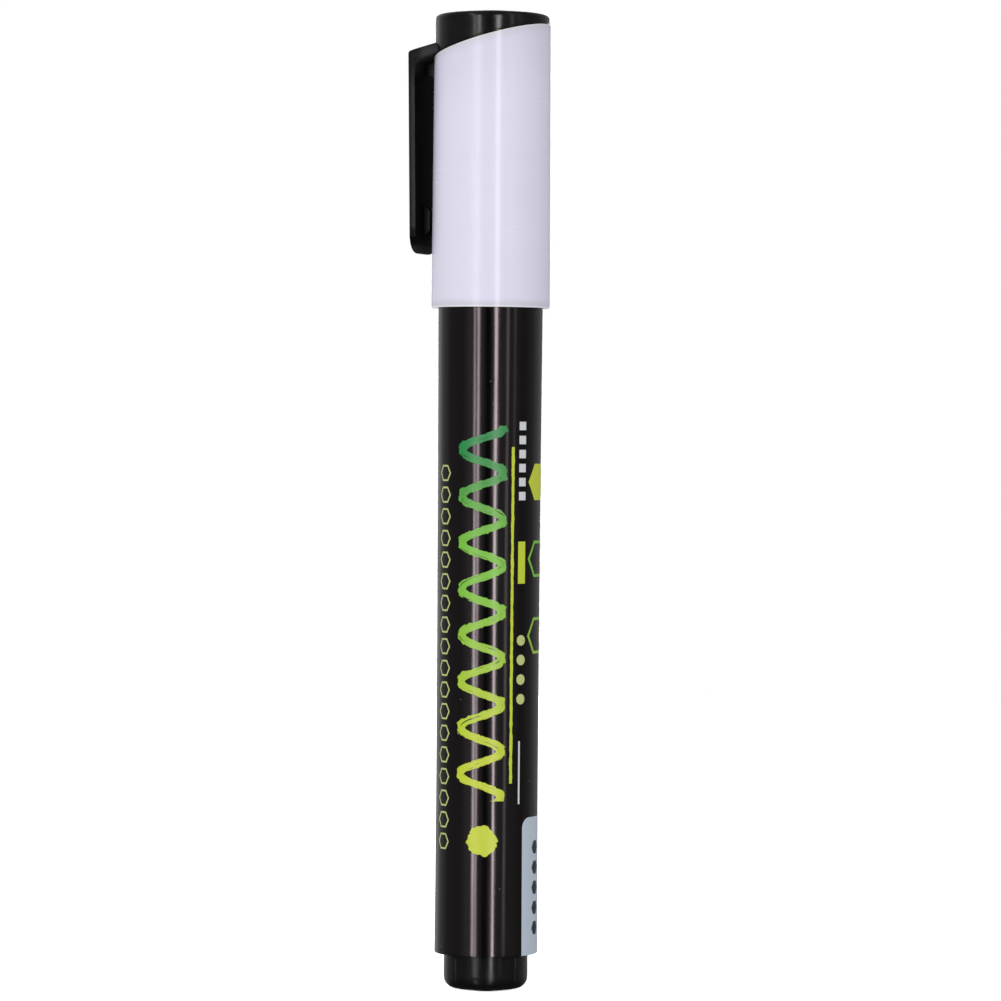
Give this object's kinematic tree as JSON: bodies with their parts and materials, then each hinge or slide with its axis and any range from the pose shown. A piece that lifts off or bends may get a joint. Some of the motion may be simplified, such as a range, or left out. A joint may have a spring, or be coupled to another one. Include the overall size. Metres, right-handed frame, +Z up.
{
  "type": "queen bee marker pen",
  "caption": "Pump-valve paint marker for marking queen bees: waisted black barrel with an end plug, a felt nib pressed to open a valve, and a pull-off pale cap with a black clip crown.",
  "frame": {"origin": "middle of the end plug's flat foot, on the pen's axis", "axes": "+Z up along the pen's axis from the end plug to the cap's crown, -X towards the clip"},
  "size_m": [0.0198, 0.017, 0.14],
  "materials": {
    "barrel_black": "gloss black with a printed design",
    "plug_black": "satin black",
    "crown_black": "satin black",
    "cap_white": "gloss, white with a lavender tint",
    "liner_natural": "natural polyethylene",
    "holder_black": "satin black",
    "valve_white": "natural polypropylene",
    "nib_felt": "bonded felt",
    "spring_steel": "drawn wire",
    "ball_steel": "polished"
  },
  "bodies": {
    "barrel": {"barrel": "barrel_black", "end_plug": "plug_black", "nib_holder": "holder_black", "valve_housing": "valve_white", "spring_retainer": "valve_white", "valve_spring": "spring_steel"},
    "cap": {"cap_shell": "cap_white", "clip_crown": "crown_black", "inner_cap": "liner_natural"},
    "pump": {"nib": "nib_felt", "valve_plunger": "valve_white"},
    "ball": {"mixing_ball": "ball_steel"}
  },
  "joints": [
    {"name": "cap_pull", "type": "slide", "parent": "barrel", "child": "cap", "axis": [0, 0, 1], "range_m": [0, 0.033]},
    {"name": "nib_press", "type": "slide", "parent": "barrel", "child": "pump", "axis": [0, 0, -1], "range_m": [0, 0.002], "stiffness_N_per_m": 300, "springref_m": -0.002, "deforming": ["valve_spring"]},
    {"name": "ball_shake", "type": "slide", "parent": "barrel", "child": "ball", "axis": [0, 0, 1], "range_m": [0, 0.081]}
  ]
}
